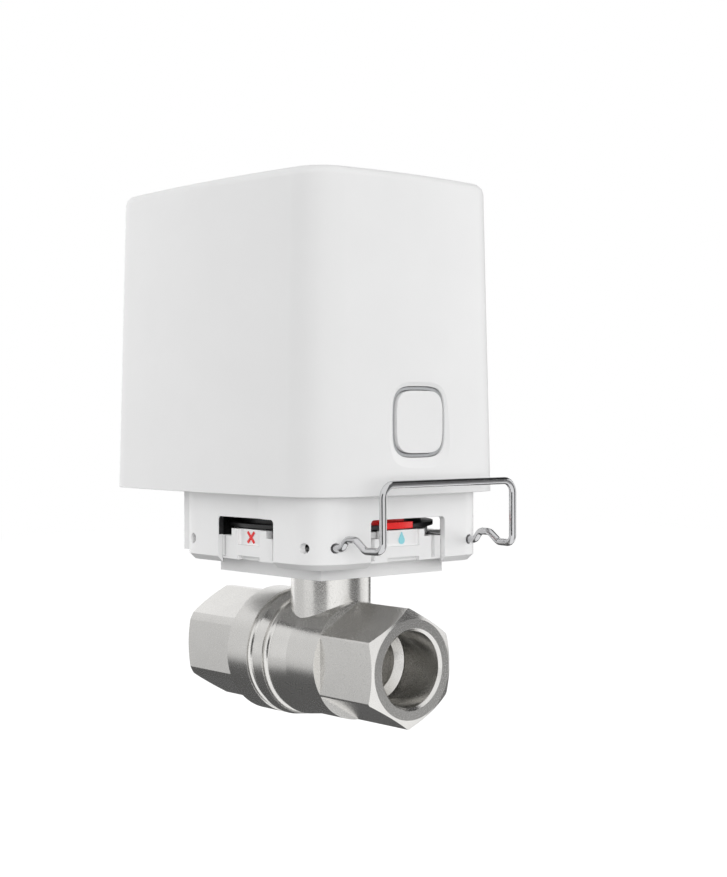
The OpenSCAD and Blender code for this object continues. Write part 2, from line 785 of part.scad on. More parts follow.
// Tab towards +X in a window of a width and shift, with a recess for its mark, a hole for the staple's leg
// and a groove near each side
module adapter_tab(reach, window, shift, recess_width, hole_offset) {
    overhang = plate_top + tab_lift;
    width = window - 2 * tab_side_gap;
    difference() {
        union() {
            translate([tab_root, shift - width / 2, plate_top - thin])
                cube([tab_hold, width, shoulder_height + thin]);
            translate([tab_root, shift - width / 2, overhang])
                cube([reach - tab_root, width, shoulder_top - overhang]);
            translate([reach - tab_lip, tab_shift - tab_upper_width / 2, overhang])
                cube([tab_lip, tab_upper_width, tab_top - overhang]);
        }
        translate([reach - label_depth, tab_shift - recess_width / 2, label_foot])
            cube([label_depth + cut, recess_width, tab_top]);
        translate([reach - tab_notch.x, tab_shift - recess_width / 2, overhang - cut])
            cube([tab_notch.x + cut, recess_width, tab_notch.y + cut]);
        for (side = [0, 1]) translate([reach - tab_groove.x, tab_shift, overhang + tab_groove_foot])
            mirror([0, side, 0]) translate([0, tab_groove_offset, 0])
                cube([tab_groove.x + cut, tab_groove.y, shoulder_height]);
        translate([hole_offset, window, leg_z]) along_minus_y() cylinder(r = staple_hole_r, h = 2 * window);
    }
}

// Tabs in the windows at the front and on both long sides, and one inside the closed rear wall
module adapter_tabs() {
    adapter_tab(tab_reach, front_window_width, front_window_shift, front_label_width,
        leg_offset + cross_shift);
    mirror([1, -1, 0])
        adapter_tab(tab_reach, front_window_width, front_window_shift, front_label_width, leg_offset);
    rotate([0, 0, 270]) adapter_tab(tab_reach, window_width, window_shift, label_width, leg_offset);
    rotate([0, 0, 180])
        adapter_tab(skirt_inner - moving_gap, window_width, window_shift, label_width,
            leg_offset - cross_shift);
}

module adapter_plate() color(part_white) difference() {
    union() {
        translate([-plate_side / 2, -plate_side / 2, neck_top])
            cube([plate_side, plate_side, plate_thickness]);
        adapter_tabs();
        translate([0, 0, shoulder_top - thin]) rotate_extrude() translate([rim_r - rim_width, 0])
            square([rim_width, tab_upper_height - moving_gap + thin]);
    }
    translate([0, 0, neck_top - cut]) cylinder(r = plate_bore_r, h = plate_thickness + 2 * cut);
    translate([0, 0, plate_top]) plate_screw_places() screw_seat(plate_thickness + cut);
}

module adapter_screws() color(steel) translate([0, 0, plate_top])
    plate_screw_places() screw(plate_screw_length);

module closed_mark() color(signal_red) translate([tab_shift, -label_face, mark_z]) along_minus_y()
    linear_extrude(mark_thickness) for (a = [-45, 45])
        rotate(a) square([mark_size * sqrt(2) - mark_bar, mark_bar], center = true);

module open_mark() color(drop_blue) slab_x(label_face, label_face + mark_thickness)
    translate([tab_shift, mark_z - mark_size / 2 + drop_r]) {
        shoulder = drop_r * [cos(drop_shoulder), sin(drop_shoulder)];
        circle(r = drop_r);
        polygon([[-shoulder.x, shoulder.y], shoulder, [0, mark_size - drop_r]]);
    }

// Sector about the stem axis that ends at an angle from +X
module sector(inner, outer, end, angle, height) rotate([0, 0, end - angle]) rotate_extrude(angle = angle)
    translate([inner, 0]) square([outer - inner, height]);

module pointer_drum() color(drum_black) difference() {
    union() {
        translate([0, 0, drum_bottom]) cylinder(r = drum_r, h = drum_thickness);
        translate([0, 0, drum_bottom]) cylinder(r = pointer_reach, h = drum_rim);
    }
    translate([0, 0, drum_bottom - cut])
        cylinder(r = coupling_r + running_clearance, h = drum_thickness + 2 * cut);
    translate([0, 0, band_bottom]) sector(band_inner_r, drum_r + assembly_gap, band_end + band_side_gap,
        band_angle + 2 * band_side_gap, drum_thickness);
    translate([0, 0, drum_bottom - cut]) sector(drum_r - thin, pointer_reach + cut,
        pointer_angle / 2 + band_side_gap, pointer_angle + 2 * band_side_gap, drum_thickness + 2 * cut);
}

// Red band in the drum's side, with a raised part that hangs over the drum's lower edge
module red_pointer() color(signal_red) {
    hang_r = drum_r + assembly_gap;
    raised_top = drum_bottom + pointer_height;
    translate([0, 0, band_bottom])
        sector(band_inner_r + assembly_gap, drum_r, band_end, band_angle, drum_top - band_bottom);
    translate([0, 0, band_bottom])
        sector(drum_r - assembly_gap, pointer_reach, pointer_angle / 2, pointer_angle,
            raised_top - band_bottom);
    translate([0, 0, drum_bottom])
        sector(hang_r, pointer_reach, pointer_angle / 2, pointer_angle, band_lift + thin);
}

module drive_coupling() color(part_white) difference() {
    union() {
        translate([0, 0, coupling_bottom]) cylinder(r = coupling_r, h = journal_foot - coupling_bottom);
        translate([0, 0, drum_bottom - coupling_flange])
            cylinder(r = coupling_r + coupling_flange_width, h = coupling_flange);
        translate([0, 0, journal_foot]) cylinder(r = journal_r, h = journal_top - journal_foot);
        translate([-gear_square / 2, -gear_square / 2, journal_foot])
            cube([gear_square, gear_square, gear_top - journal_foot + gear_square_proud]);
    }
    socket = stem_square + 2 * running_clearance;
    translate([-socket / 2, -socket / 2, coupling_bottom - cut])
        cube([socket, socket, stem_top + assembly_gap - coupling_bottom + cut]);
}

module output_bush() color(brass) difference() {
    union() {
        translate([0, 0, bush_bottom]) cylinder(r = bush_r, h = floor_top - bush_bottom);
        translate([0, 0, floor_top]) cylinder(r = bush_flange_r, h = bush_flange);
    }
    translate([0, 0, bush_bottom - cut]) cylinder(r = bush_bore_r, h = journal_top - bush_bottom + 2 * cut);
}

module gear(teeth) translate([0, 0, gear_bottom]) linear_extrude(gear_width) polygon(gear_points(teeth));

module output_gear() color(gear_grey) difference() {
    union() {
        gear(output_teeth);
        translate([0, 0, gear_bottom - cam_height]) cylinder(r = cam_r, h = cam_height + thin);
    }
    bore = gear_square + 2 * running_clearance;
    cam_bottom = gear_bottom - cam_height;
    translate([-bore / 2, -bore / 2, cam_bottom - cut]) cube([bore, bore, gear_top - cam_bottom + 2 * cut]);
    translate([0, 0, cam_bottom - cut]) cylinder(r = journal_r + running_clearance, h = cam_height + cut);
}

module idler_gear() color(gear_grey) translate([idler_x, 0, 0]) difference() {
    rotate([0, 0, 180 / idler_teeth]) gear(idler_teeth);
    translate([0, 0, gear_bottom - cut]) cylinder(r = axle_r + running_clearance, h = gear_width + 2 * cut);
}

module idler_axle() color(steel) translate([idler_x, 0, floor_top])
    cylinder(r = axle_r, h = chassis_top - floor_top);

module motor_pinion() color(steel) translate([pinion_x, 0, 0]) {
    gear(pinion_teeth);
    translate([0, 0, gear_top - thin]) cylinder(r = shaft_r, h = chassis_top - gear_top + shaft_depth);
}

module gearbox() color(steel) translate([pinion_x, 0, chassis_top]) difference() {
    cylinder(r = motor_r, h = gearbox_length);
    translate([0, 0, -cut]) cylinder(r = shaft_r + running_clearance, h = shaft_depth + cut + assembly_gap);
}

module motor() color(steel) translate([pinion_x, 0, chassis_top + gearbox_length]) {
    cylinder(r = motor_r - motor_step, h = motor_length);
    translate([0, 0, motor_length - thin]) cylinder(r = motor_r / 3, h = motor_nose);
}

module limit_switches() color(rubber_black) for (side = [0, 1]) mirror([0, side, 0]) {
    translate([-switch_size.x / 2, switch_offset, floor_top]) cube(switch_size);
    translate([-lever_size.x / 2, cam_r + moving_gap, gear_bottom - cam_height])
        cube([lever_size.x, switch_offset - cam_r - moving_gap + thin, lever_size.y]);
}

module case_slice(z, inset) translate([case_mid, 0, z]) linear_extrude(thin)
    polygon(case_outline(inset + lean(z)));

// Corners of a window, rounded at the top, in a vertical plane
module window_shape(width) {
    r = window_corner;
    translate([-width / 2, 0]) square([width, window_top - r]);
    translate([-width / 2 + r, 0]) square([width - 2 * r, window_top]);
    for (s = [-1, 1]) translate([s * (width / 2 - r), window_top - r]) circle(r = r);
}

// Window of the collar towards +X
module window_cut(width, shift) slab_x(0, skirt_side) translate([shift, 0]) window_shape(width);

// Block of the collar's outside, chamfered round its lower edge, with a pad on its rear
module collar_block() {
    upright = skirt_bottom + skirt_chamfer;
    pad_bottom = plate_top + rear_pad_lift;
    hull() {
        translate([0, 0, skirt_bottom]) linear_extrude(thin)
            rounded_square(skirt_half - skirt_chamfer, skirt_corner - skirt_chamfer, $fn = 32);
        translate([0, 0, upright]) linear_extrude(thin) rounded_square(skirt_half, skirt_corner, $fn = 32);
    }
    translate([0, 0, upright]) linear_extrude(floor_bottom - upright + thin)
        rounded_square(skirt_half, skirt_corner);
    translate([-skirt_half - rear_pad, -rear_pad_width / 2, pad_bottom])
        cube([skirt_half, rear_pad_width, floor_bottom - pad_bottom + thin]);
}

// Scoop on a long side that deepens towards the front and ends in a steep slope
module scoop() translate([0, 0, skirt_bottom - cut]) linear_extrude(floor_bottom - skirt_bottom + cut)
    polygon(concat([for (k = [0:scoop_steps]) let (share = k / scoop_steps)
        [scoop_start + (scoop_floor - scoop_start) * share, scoop_depth * pow(share, 2) - skirt_half]],
        [[scoop_end, -skirt_half], [scoop_end, -skirt_half - cut], [scoop_start, -skirt_half - cut]]));

module skirt() difference() {
    collar_block();
    translate([0, 0, skirt_bottom - cut]) linear_extrude(floor_bottom - skirt_bottom + cut)
        rounded_square(skirt_inner, max(skirt_corner - skirt_wall, inner_corner));
    window_cut(front_window_width, front_window_shift);
    mirror([1, -1, 0]) window_cut(front_window_width, front_window_shift);
    rotate([0, 0, 270]) window_cut(window_width, window_shift);
    for (side = [0, 1]) mirror([0, side, 0]) scoop();
    for (side = [-1, 1]) {
        translate([0, side * leg_offset, leg_z]) bar_x(-skirt_side, skirt_side, staple_hole_r);
        translate([cross_shift + side * leg_offset, skirt_side, leg_z]) along_minus_y()
            cylinder(r = staple_hole_r, h = 2 * skirt_side);
    }
}

module lower_housing() color(part_white) difference() {
    union() {
        skirt();
        translate([case_mid, 0, floor_bottom]) linear_extrude(floor_thickness)
            polygon(case_outline(rim_wall + assembly_gap + lean(floor_top)));
        translate([0, 0, bush_bottom]) cylinder(r = boss_r, h = floor_bottom - bush_bottom + thin);
        for (p = post_places) translate([p.x, p.y, floor_top - thin])
            cylinder(r = post_r, h = chassis_bottom - floor_top + thin);
        translate([board_back - rail_wall, -board_width / 2 + rail_set_in, floor_top - thin])
            cube([board_thickness + 2 * rail_wall, board_width - 2 * rail_set_in, rail_height + thin]);
    }
    translate([0, 0, bush_bottom - cut]) cylinder(r = bush_hole_r, h = floor_top - bush_bottom + 2 * cut);
    for (p = post_places) translate([p.x, p.y, chassis_bottom - post_screw_length])
        cylinder(r = thread_r, h = post_screw_length + cut);
    translate([board_back - running_clearance, -board_width / 2, floor_top + rail_floor])
        cube([board_thickness + 2 * running_clearance, board_width, rail_height]);
    for (p = case_boss_places) translate([p.x, p.y, floor_bottom]) mirror([0, 0, 1])
        screw_seat(floor_thickness + cut);
}

module casing() color(casing_white) difference() {
    union() {
        difference() {
            hull() {
                case_slice(case_bottom, 0);
                for (a = [0:30:90]) {
                    drop = case_top_round * (1 - sin(a));
                    case_slice(case_top - drop - thin, case_top_round * (1 - cos(a)));
                }
            }
            hull() {
                case_slice(rim_top, case_wall);
                case_slice(case_top - case_wall, case_wall);
            }
        }
        intersection() {
            for (p = case_boss_places) translate([p.x, p.y, rim_top]) {
                cylinder(r = case_boss_r, h = case_boss_height);
                rotate([0, 0, p.y > 0 ? 0 : 180]) translate([-case_boss_rib / 2, 0, 0])
                    cube([case_boss_rib, case_half_width, case_boss_height]);
            }
            translate([case_mid, 0, rim_top]) linear_extrude(case_boss_height)
                polygon(case_outline(case_wall / 2 + lean(rim_top + case_boss_height)));
        }
    }
    translate([case_mid, 0, case_bottom - cut]) linear_extrude(rim_top - case_bottom + cut)
        polygon(case_outline(rim_wall + lean(rim_top)));
    for (p = case_boss_places) translate([p.x, p.y, rim_top - cut])
        cylinder(r = thread_r, h = floor_bottom + case_screw_length + assembly_gap - rim_top + cut);
    translate([0, 0, button_z]) {
        slab_x(case_front - 3 * case_wall, case_front + cut) polygon(squircle(opening_width));
        hull() {
            slab_x(face_x - dish_depth, face_x - dish_depth + thin) polygon(squircle(opening_width));
            slab_x(face_x + dish_depth, face_x + dish_depth + thin)
                polygon(squircle(opening_width + 4 * dish_width));
        }
    }
}

module casing_gasket() color(rubber_black) translate([case_mid, 0, floor_top]) linear_extrude(gasket_height)
    difference() {
        polygon(case_outline(gasket_inset + lean(rim_top)));
        polygon(case_outline(gasket_inset + gasket_width + lean(rim_top)));
    }

module casing_screws() color(steel) for (p = case_boss_places) translate([p.x, p.y, floor_bottom])
    mirror([0, 0, 1]) screw(case_screw_length);

module power_button() color(casing_white) translate([0, 0, button_z]) {
    slab_x(button_flange_front - thin, button_face) polygon(squircle(button_width));
    slab_x(button_flange_back, button_flange_front) polygon(squircle(button_flange_width));
    bar_x(plunger_front + running_clearance, button_flange_back + thin, button_nub_r);
}

module light_ring() color(cell_grey) translate([0, 0, button_z]) difference() {
    union() {
        slab_x(ring_flange_front - thin, ring_front) polygon(squircle(ring_outer));
        slab_x(ring_flange_back, ring_flange_front) polygon(squircle(ring_flange_width));
    }
    slab_x(ring_flange_back - cut, ring_front + cut) polygon(squircle(ring_inner));
}

module button_switch() color(rubber_black) translate([0, 0, button_z]) difference() {
    slab_x(board_front, switch_front) square(switch_width, center = true);
    bar_x(plunger_end, switch_front + cut, plunger_bore_r);
}

module switch_plunger() color(part_white) translate([0, 0, button_z])
    bar_x(plunger_front - plunger_length, plunger_front, plunger_r);

module control_board() color(board_green) translate([board_back, -board_width / 2, board_bottom])
    cube([board_thickness, board_width, board_height]);

module radio_module() color(steel) translate([board_front, -radio_size.y / 2, radio_z]) cube(radio_size);

module status_leds() color(ptfe_white) for (side = [-1, 1])
    translate([board_front, side * led_y - led_size.y / 2, button_z - led_size.z / 2]) cube(led_size);

module chassis_plate() color(part_white) difference() {
    translate([chassis_rear, -chassis_half_width, chassis_bottom])
        cube([chassis_front - chassis_rear, 2 * chassis_half_width, chassis_thickness]);
    for (p = post_places) translate([p.x, p.y, chassis_top]) screw_seat(chassis_thickness + cut);
    translate([idler_x, 0, chassis_bottom - cut])
        cylinder(r = axle_r + running_clearance, h = chassis_thickness + 2 * cut);
    translate([pinion_x, 0, chassis_bottom - cut])
        cylinder(r = shaft_r + moving_gap, h = chassis_thickness + 2 * cut);
}

module chassis_screws() color(steel) for (p = post_places) translate([p.x, p.y, chassis_top])
    screw(post_screw_length);

module battery_holder() color(rubber_black) difference() {
    translate([-holder_half, -holder_half, chassis_top])
        cube([2 * holder_half, 2 * holder_half, holder_top - chassis_top]);
    for (p = cell_places) translate([p.x, p.y, chassis_top + holder_floor])
        cylinder(r = pocket_r, h = holder_top);
    translate([0, 0, holder_top + cap_thickness - cap_screw_length - assembly_gap])
        cylinder(r = thread_r, h = cap_screw_length);
}

module battery_cap() color(rubber_black) difference() {
    translate([-holder_half, -holder_half, holder_top])
        cube([2 * holder_half, 2 * holder_half, cap_thickness]);
    translate([0, 0, holder_top + cap_thickness]) screw_seat(cap_thickness + cut);
}

module cap_screw() color(steel) translate([0, 0, holder_top + cap_thickness]) screw(cap_screw_length);

module battery_contacts() color(nickel) for (p = cell_places) translate([p.x, p.y, 0]) {
    translate([0, 0, cell_bottom - contact_thickness]) cylinder(r = contact_r, h = contact_thickness);
    translate([0, 0, holder_top - contact_thickness]) cylinder(r = contact_r, h = contact_thickness);
}

module battery(place) color(cell_grey) translate([place.x, place.y, cell_bottom]) {
    cylinder(r = cell_d / 2, h = cell_length);
    cylinder(r = contact_r / 2, h = cell_length + cell_nub);
}

// The legs are rods, and the loop's wire starts inside their ends
module locking_staple() color(steel) {
    crossbar_z = leg_z + handle_height;
    half_loop = [[loop_start, -leg_offset, leg_z], [bump_start, -leg_offset, leg_z],
        [bump_top[0], -leg_offset, leg_z + bump_height], [bump_top[1], -leg_offset, leg_z + bump_height],
        [bump_end, -leg_offset, leg_z], [handle_x, -handle_y, leg_z], [handle_x, -handle_y, crossbar_z]];
    other_half = [for (i = [len(half_loop) - 1:-1:0]) [half_loop[i].x, -half_loop[i].y, half_loop[i].z]];
    half_bends = [bump_bend, bump_bend, bump_bend, bump_bend, handle_foot_bend, handle_bend];
    other_bends = [for (i = [len(half_bends) - 1:-1:0]) half_bends[i]];
    wire(bent_path(concat(half_loop, other_half), concat(half_bends, other_bends)), loop_r);
    for (side = [-1, 1]) translate([0, side * leg_offset, leg_z]) bar_x(-leg_tip, skirt_inner, wire_d / 2);
}

valve_body();
end_connector();
body_seal();
near_seat();
far_seat();
ball();
stem();
stem_o_rings();
adapter_plate();
adapter_screws();
closed_mark();
open_mark();
pointer_drum();
red_pointer();
drive_coupling();
output_bush();
output_gear();
idler_gear();
idler_axle();
motor_pinion();
gearbox();
motor();
limit_switches();
lower_housing();
casing();
casing_gasket();
casing_screws();
power_button();
light_ring();
button_switch();
switch_plunger();
control_board();
radio_module();
status_leds();
chassis_plate();
chassis_screws();
battery_holder();
battery_cap();
cap_screw();
battery_contacts();
battery(cell_places[0]);  // battery_1
battery(cell_places[1]);  // battery_2
battery(cell_places[2]);  // battery_3
battery(cell_places[3]);  // battery_4
locking_staple();
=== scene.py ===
"""Looks of the smart water valve: the camera, soft studio light and a material for every piece."""

import json
import math

import bpy
from mathutils import Matrix, Vector


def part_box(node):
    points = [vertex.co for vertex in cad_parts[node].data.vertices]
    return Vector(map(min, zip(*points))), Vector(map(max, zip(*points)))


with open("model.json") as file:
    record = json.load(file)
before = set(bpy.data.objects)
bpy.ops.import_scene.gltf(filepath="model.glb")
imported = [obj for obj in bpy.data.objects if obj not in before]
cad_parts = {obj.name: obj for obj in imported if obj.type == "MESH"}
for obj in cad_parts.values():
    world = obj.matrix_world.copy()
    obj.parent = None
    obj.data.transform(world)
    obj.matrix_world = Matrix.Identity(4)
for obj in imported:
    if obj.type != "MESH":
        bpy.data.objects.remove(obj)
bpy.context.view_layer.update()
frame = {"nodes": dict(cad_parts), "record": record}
nodes = frame["nodes"]
scene = bpy.context.scene

# Camera, fitted to the photograph's frame
IMAGE_HEIGHT = 877
FOCAL_PIXELS = 1602
SENSOR_MM = 36
CLIP_START = 0.01
CAMERA_PLACE = Vector((0.31244, -0.26338, 0.06098))
CAMERA_HEADING = math.radians(48.70)
CAMERA_PITCH = math.radians(-0.77)

# Studio in metres: each lamp has a place and a power
WORLD_LEVEL = 0.62
LAMP_SIZE = 0.9
LAMP_TARGET = Vector((0, 0, 0.05))
LAMPS = {
    "front": ((1.02, -0.64, 0.10), 9.0),
    "left": ((-1.14, -0.37, 0.12), 10.6),
    "back": ((0.5, 1.1, 0.12), 7.2),
}
FLOOR_HEIGHT = -0.09
FLOOR_SIZE = 3.0
FLOOR_PAINT = 0.26
FLOOR_GLOW = 0.835

# Flags, cards that only show in the metal's reflections.
# A level is a number, or a grade along the card's own Y axis: two places, then the level at each.
FLAG_DISTANCE = 0.7
FLAG_LIFT = 0.004
# Two corners on the floor and a level; a card on the floor has its own Y axis along the part's -Y
FLOOR_FLAGS = {
    "floor_flag": ((-0.55, -0.25), (0.02, 0.45), (0.24, 0.35, 0.12, 0.62)),
    "side_flag": ((-0.85, -0.85), (0.02, -0.25), 0.66),
    "near_flag": ((0.12, 0.08), (0.80, 0.70), 0.42),
}
# Bearing from the stem in degrees from +X, width, height and a level
UPRIGHT_FLAGS = {
    "left_flag": (-147, 0.60, 0.75, (-0.03, 0.375, 0.72, 1.0)),
    "front_flag": (-70, 0.50, 0.42, 0.05),
    "right_flag": (33, 0.46, 0.90, 0.16),
    "back_flag": (111, 0.30, 0.42, 0.08),
}
UPPER_FLAG_SIZE = (0.9, 0.5)
UPPER_FLAG_PLACE = (0.1, 0.57, 0.60)
UPPER_FLAG_FACING = (-0.1, -0.7, -0.7)
UPPER_FLAG_LEVEL = 0.04

# Smooth shading of the nodes whose curves are made of flats, by the angle in degrees that stays sharp
SHARP_ANGLES = {"casing": 34, "lower_housing": 9, "locking_staple": 60}
DISH_SHARP_ANGLE = 10
DISH_REACH = 0.004
WELD_DISTANCE = 0.000002

# Colours
WHITE = (0.83, 0.83, 0.83)
# The parts' own white, raised above the casing's: partly their colour, partly painted light that makes up
# for the shade under the casing's overhang
PART_WHITE_WITH_PAINTED_LIGHT = (0.89, 0.89, 0.89)
SEAT_WHITE = (0.86, 0.86, 0.83)
NICKEL = (0.76, 0.75, 0.73)
STEEL = (0.62, 0.62, 0.63)
BRASS = (0.60, 0.42, 0.17)
BLACK = (0.016, 0.016, 0.017)
RED = (0.88, 0.03, 0.03)
BLUE = (0.32, 0.74, 0.82)
GREEN = (0.02, 0.12, 0.05)
GEAR_CREAM = (0.62, 0.58, 0.48)
GUIDE_GREY = (0.43, 0.44, 0.45)
SLEEVE_GREY = (0.10, 0.12, 0.15)

# Sizes of the surface textures in millimetres
MOULD_EDGE_MM = 0.25
CLOUD_MM = 14
PLATED_EDGE_MM = 0.12
BLOTCH_MM = 6
LATHE_LINE_MM = 0.3
LATHE_STRETCH = (1, 0.03, 0.03)
DRAWN_LINE_MM = 0.2
DRAWN_STRETCH = 0.02
RUBBER_GRAIN_MM = 0.3
BEVEL_SAMPLES = 6

# Painted shade on the lower housing, black where only shade falls: the shaft inside the collar round the
# drum, and the edges of its side windows between two corners, given as sizes of x and y and as z
PAINTED_SHADE_SHAFT_MM = 26.4
PAINTED_SHADE_CORNER_MM = 6.4
PAINTED_SHADE_TOP_MM = 42.35
PAINTED_SHADE_EDGES_LOW_MM = (0, 26, 31.8)
PAINTED_SHADE_EDGES_HIGH_MM = (12.5, 27.7, 36.35)


def add_camera():
    data = bpy.data.cameras.new("camera")
    data.sensor_width = SENSOR_MM
    data.lens = FOCAL_PIXELS * SENSOR_MM / IMAGE_HEIGHT
    data.clip_start = CLIP_START
    camera = bpy.data.objects.new("camera", data)
    scene.collection.objects.link(camera)
    tilt = Matrix.Rotation(math.pi / 2 + CAMERA_PITCH, 4, "X")
    turn = Matrix.Rotation(CAMERA_HEADING, 4, "Z")
    camera.matrix_world = Matrix.Translation(CAMERA_PLACE) @ turn @ tilt
    scene.camera = camera


def add_lamp(name, place, power):
    """A large soft lamp, kept out of the metal's reflections, which show the white studio and its flags."""
    data = bpy.data.lights.new(name, "AREA")
    data.shape = "DISK"
    data.size = LAMP_SIZE
    data.energy = power
    lamp = bpy.data.objects.new(name, data)
    scene.collection.objects.link(lamp)
    look = LAMP_TARGET - Vector(place)
    lamp.rotation_euler = look.to_track_quat("-Z", "Y").to_euler()
    lamp.location = place
    lamp.visible_glossy = False


def seen_directly(tree):
    """A value that is 1 where the camera, a reflection or a clear material sees a surface."""
    path = tree.nodes.new("ShaderNodeLightPath")
    either = tree.nodes.new("ShaderNodeMath")
    either.operation = "MAXIMUM"
    tree.links.new(path.outputs["Is Camera Ray"], either.inputs[0])
    tree.links.new(path.outputs["Is Glossy Ray"], either.inputs[1])
    any_of = tree.nodes.new("ShaderNodeMath")
    any_of.operation = "MAXIMUM"
    tree.links.new(either.outputs[0], any_of.inputs[0])
    tree.links.new(path.outputs["Is Transmission Ray"], any_of.inputs[1])
    return any_of.outputs[0]


def add_background(tree, strength):
    background = tree.nodes.new("ShaderNodeBackground")
    background.inputs["Color"].default_value = (1, 1, 1, 1)
    background.inputs["Strength"].default_value = strength
    return background


def set_world():
    """A world that lights the object at a plain level and looks white."""
    world = bpy.data.worlds.new("studio")
    world.use_nodes = True
    tree = world.node_tree
    tree.nodes.clear()
    light = add_background(tree, WORLD_LEVEL)
    white = add_background(tree, 1)
    mix = tree.nodes.new("ShaderNodeMixShader")
    out = tree.nodes.new("ShaderNodeOutputWorld")
    tree.links.new(seen_directly(tree), mix.inputs[0])
    tree.links.new(light.outputs[0], mix.inputs[1])
    tree.links.new(white.outputs[0], mix.inputs[2])
    tree.links.new(mix.outputs[0], out.inputs["Surface"])
    scene.world = world


def add_card(name, width, height, place, facing):
    """A flat card of the studio, which isn't part of the object."""
    mesh = bpy.data.meshes.new(name)
    corners = [(x * width / 2, y * height / 2, 0) for x, y in ((-1, -1), (1, -1), (1, 1), (-1, 1))]
    mesh.from_pydata(corners, [], [(0, 1, 2, 3)])
    card = bpy.data.objects.new(name, mesh)
    scene.collection.objects.link(card)
    card.rotation_euler = Vector(facing).to_track_quat("Z", "Y").to_euler()
    card.location = place
    material = bpy.data.materials.new(name)
    material.use_nodes = True
    material.node_tree.nodes.clear()
    mesh.materials.append(material)
    return card, material.node_tree


def add_floor():
    """A pale floor that looks white, and a little darker where the object shades it."""
    tree = add_card("floor", FLOOR_SIZE, FLOOR_SIZE, (0, 0, FLOOR_HEIGHT), (0, 0, 1))[1]
    paint = tree.nodes.new("ShaderNodeBsdfDiffuse")
    paint.inputs["Color"].default_value = (FLOOR_PAINT, FLOOR_PAINT, FLOOR_PAINT, 1)
    level = tree.nodes.new("ShaderNodeMath")
    level.operation = "MULTIPLY"
    level.inputs[1].default_value = FLOOR_GLOW
    tree.links.new(seen_directly(tree), level.inputs[0])
    glow = tree.nodes.new("ShaderNodeEmission")
    tree.links.new(level.outputs[0], glow.inputs["Strength"])
    both = tree.nodes.new("ShaderNodeAddShader")
    out = tree.nodes.new("ShaderNodeOutputMaterial")
    tree.links.new(paint.outputs[0], both.inputs[0])
    tree.links.new(glow.outputs[0], both.inputs[1])
    tree.links.new(both.outputs[0], out.inputs["Surface"])


def grade(tree, start, end, first, last):
    """A level that runs along a card's own Y axis, from the first at the start to the last at the end."""
    position = tree.nodes.new("ShaderNodeTexCoord")
    split = tree.nodes.new("ShaderNodeSeparateXYZ")
    levels = tree.nodes.new("ShaderNodeMapRange")
    levels.inputs["From Min"].default_value = start
    levels.inputs["From Max"].default_value = end
    levels.inputs["To Min"].default_value = first
    levels.inputs["To Max"].default_value = last
    tree.links.new(position.outputs["Object"], split.inputs[0])
    tree.links.new(split.outputs["Y"], levels.inputs["Value"])
    return levels.outputs["Result"]


def add_flag(name, width, height, place, facing, level):
    """A grey card that only shows in the metal's reflections, as a studio flag does."""
    card, tree = add_card(name, width, height, place, facing)
    card.visible_camera = False
    card.visible_diffuse = False
    card.visible_transmission = False
    card.visible_volume_scatter = False
    card.visible_shadow = False
    glow = tree.nodes.new("ShaderNodeEmission")
    if isinstance(level, tuple):
        tree.links.new(grade(tree, *level), glow.inputs["Strength"])
    else:
        glow.inputs["Strength"].default_value = level
    out = tree.nodes.new("ShaderNodeOutputMaterial")
    tree.links.new(glow.outputs[0], out.inputs["Surface"])


def add_floor_flag(name, low, high, level):
    """A flag that lies on the floor between two corners in metres."""
    middle = ((low[0] + high[0]) / 2, (low[1] + high[1]) / 2, FLOOR_HEIGHT + FLAG_LIFT)
    add_flag(name, high[0] - low[0], high[1] - low[1], middle, (0, 0, 1), level)


def add_upright_flag(name, bearing, width, height, level):
    """A flag that stands on the floor in a direction from the stem, in degrees from +X."""
    out = Vector((math.cos(math.radians(bearing)), math.sin(math.radians(bearing)), 0))
    place = FLAG_DISTANCE * out + Vector((0, 0, FLOOR_HEIGHT + height / 2))
    add_flag(name, width, height, place, -out, level)


def add_flags():
    for name, (low, high, level) in FLOOR_FLAGS.items():
        add_floor_flag(name, low, high, level)
    for name, (bearing, width, height, level) in UPRIGHT_FLAGS.items():
        add_upright_flag(name, bearing, width, height, level)
    width, height = UPPER_FLAG_SIZE
    add_flag("upper_flag", width, height, UPPER_FLAG_PLACE, UPPER_FLAG_FACING, UPPER_FLAG_LEVEL)


def between_corners(tree, low, high):
    """A selection of what lies between two corners."""
    position = tree.nodes.new("GeometryNodeInputPosition")
    offset = tree.nodes.new("ShaderNodeVectorMath")
    offset.operation = "SUBTRACT"
    offset.inputs[1].default_value = (low + high) / 2
    size = tree.nodes.new("ShaderNodeVectorMath")
    size.operation = "ABSOLUTE"
    inside = tree.nodes.new("FunctionNodeCompare")
    inside.data_type = "VECTOR"
    inside.mode = "ELEMENT"
    inside.operation = "LESS_THAN"
    first, second = (socket for socket in inside.inputs if socket.type == "VECTOR")
    second.default_value = (high - low) / 2
    tree.links.new(position.outputs[0], offset.inputs[0])
    tree.links.new(offset.outputs[0], size.inputs[0])
    tree.links.new(size.outputs[0], first)
    return inside.outputs["Result"]


def sharper_than(tree, degrees):
    """A selection of the edges whose faces meet at more than an angle."""
    angle = tree.nodes.new("GeometryNodeInputMeshEdgeAngle")
    compare = tree.nodes.new("FunctionNodeCompare")
    compare.inputs["B"].default_value = math.radians(degrees)
    tree.links.new(angle.outputs["Unsigned Angle"], compare.inputs["A"])
    return compare.outputs["Result"]


def combined(tree, operation, first, second):
    """Joins two selections by a logical operation."""
    join = tree.nodes.new("FunctionNodeBooleanMath")
    join.operation = operation
    tree.links.new(first, join.inputs[0])
    tree.links.new(second, join.inputs[1])
    return join.outputs[0]


